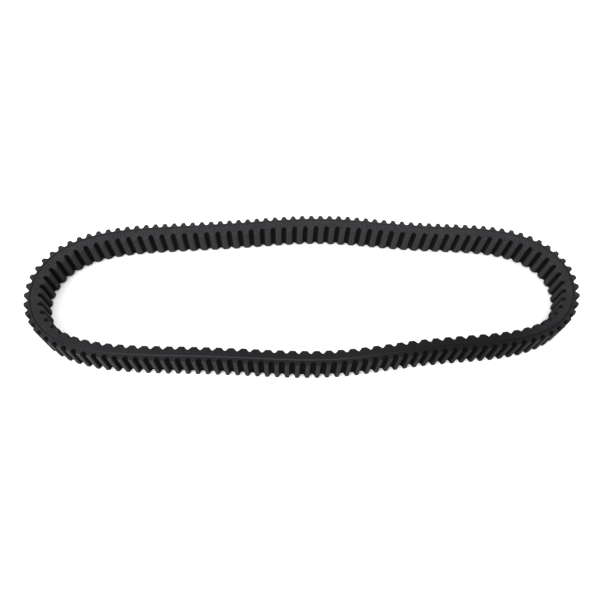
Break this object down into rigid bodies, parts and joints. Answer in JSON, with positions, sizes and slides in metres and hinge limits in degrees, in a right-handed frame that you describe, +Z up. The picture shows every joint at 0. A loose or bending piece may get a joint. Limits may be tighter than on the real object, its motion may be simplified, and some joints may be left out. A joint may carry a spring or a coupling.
{
  "type": "variable-speed drive belt",
  "caption": "Closed double-cogged V belt for a variable-speed pulley drive, lying on one side face, with cogs on its inner and outer faces and two sloped driving flanks.",
  "frame": {"origin": "centre of the bounding box at its base: the middle of the loop, on the surface the belt lies on", "axes": "+X along the loop towards its narrower end, +Y across the loop, +Z up through the belt width"},
  "size_m": [0.5368, 0.1664, 0.032],
  "materials": {
    "cog_rubber": "moulded fibre-loaded rubber, matte, with a faint fibre grain and pale scuffs on the edges",
    "gum_rubber": "plain matte rubber",
    "cord_fibre": "twisted aramid cord dipped in dark rubber, seen only as a fine line on the side faces",
    "facing_fabric": "fine woven facing soaked with rubber, matte black"
  },
  "bodies": {
    "section_01": {"inner_facing_01": "facing_fabric", "inner_cogs_01": "cog_rubber", "adhesion_gum_01": "gum_rubber", "tensile_cord_01": "cord_fibre", "outer_cogs_01": "cog_rubber"},
    "section_02": {"inner_facing_02": "facing_fabric", "inner_cogs_02": "cog_rubber", "adhesion_gum_02": "gum_rubber", "tensile_cord_02": "cord_fibre", "outer_cogs_02": "cog_rubber"},
    "section_03": {"inner_facing_03": "facing_fabric", "inner_cogs_03": "cog_rubber", "adhesion_gum_03": "gum_rubber", "tensile_cord_03": "cord_fibre", "outer_cogs_03": "cog_rubber"},
    "section_04": {"inner_facing_04": "facing_fabric", "inner_cogs_04": "cog_rubber", "adhesion_gum_04": "gum_rubber", "tensile_cord_04": "cord_fibre", "outer_cogs_04": "cog_rubber"},
    "section_05": {"inner_facing_05": "facing_fabric", "inner_cogs_05": "cog_rubber", "adhesion_gum_05": "gum_rubber", "tensile_cord_05": "cord_fibre", "outer_cogs_05": "cog_rubber"},
    "section_06": {"inner_facing_06": "facing_fabric", "inner_cogs_06": "cog_rubber", "adhesion_gum_06": "gum_rubber", "tensile_cord_06": "cord_fibre", "outer_cogs_06": "cog_rubber"},
    "section_07": {"inner_facing_07": "facing_fabric", "inner_cogs_07": "cog_rubber", "adhesion_gum_07": "gum_rubber", "tensile_cord_07": "cord_fibre", "outer_cogs_07": "cog_rubber"},
    "section_08": {"inner_facing_08": "facing_fabric", "inner_cogs_08": "cog_rubber", "adhesion_gum_08": "gum_rubber", "tensile_cord_08": "cord_fibre", "outer_cogs_08": "cog_rubber"},
    "section_09": {"inner_facing_09": "facing_fabric", "inner_cogs_09": "cog_rubber", "adhesion_gum_09": "gum_rubber", "tensile_cord_09": "cord_fibre", "outer_cogs_09": "cog_rubber"},
    "section_10": {"inner_facing_10": "facing_fabric", "inner_cogs_10": "cog_rubber", "adhesion_gum_10": "gum_rubber", "tensile_cord_10": "cord_fibre", "outer_cogs_10": "cog_rubber"}
  },
  "joints": [
    {"name": "flex_01", "type": "hinge", "parent": "section_01", "child": "section_02", "pos_m": [-0.21128, -0.05973, 0.016], "axis": [0, 0, 1], "range_deg": [-7.4, 7.4], "stiffness_Nm_per_rad": 2},
    {"name": "flex_02", "type": "hinge", "parent": "section_02", "child": "section_03", "pos_m": [-0.09941, -0.07098, 0.016], "axis": [0, 0, 1], "range_deg": [-6.1, 6.1]},
    {"name": "flex_03", "type": "hinge", "parent": "section_03", "child": "section_04", "pos_m": [0.01312, -0.077, 0.016], "axis": [0, 0, 1], "range_deg": [-7.5, 7.5]},
    {"name": "flex_04", "type": "hinge", "parent": "section_04", "child": "section_05", "pos_m": [0.12526, -0.06627, 0.016], "axis": [0, 0, 1], "range_deg": [-1.4, 1.4]},
    {"name": "flex_05", "type": "hinge", "parent": "section_05", "child": "section_06", "pos_m": [0.23513, -0.04656, 0.016], "axis": [0, 0, 1], "range_deg": [-4.8, 4.8]},
    {"name": "flex_06", "type": "hinge", "parent": "section_06", "child": "section_07", "pos_m": [0.23513, 0.04656, 0.016], "axis": [0, 0, 1], "range_deg": [-4.6, 4.6]},
    {"name": "flex_10", "type": "hinge", "parent": "section_01", "child": "section_10", "pos_m": [-0.21128, 0.05973, 0.016], "axis": [0, 0, 1], "range_deg": [-8.2, 8.2]},
    {"name": "flex_09", "type": "hinge", "parent": "section_10", "child": "section_09", "pos_m": [-0.09941, 0.07098, 0.016], "axis": [0, 0, 1], "range_deg": [-5.5, 5.5]},
    {"name": "flex_08", "type": "hinge", "parent": "section_09", "child": "section_08", "pos_m": [0.01312, 0.077, 0.016], "axis": [0, 0, 1], "range_deg": [-7.3, 7.3]}
  ],
  "couplings": [
    {"joint": "flex_02", "follows": "flex_01", "ratio": -0.8084},
    {"joint": "flex_03", "follows": "flex_01", "ratio": -1.0026},
    {"joint": "flex_04", "follows": "flex_01", "ratio": 0.177},
    {"joint": "flex_05", "follows": "flex_01", "ratio": 0.6377},
    {"joint": "flex_06", "follows": "flex_01", "ratio": 0.611},
    {"joint": "flex_10", "follows": "flex_01", "ratio": -1.0992},
    {"joint": "flex_09", "follows": "flex_01", "ratio": 0.7347},
    {"joint": "flex_08", "follows": "flex_01", "ratio": 0.9792}
  ]
}
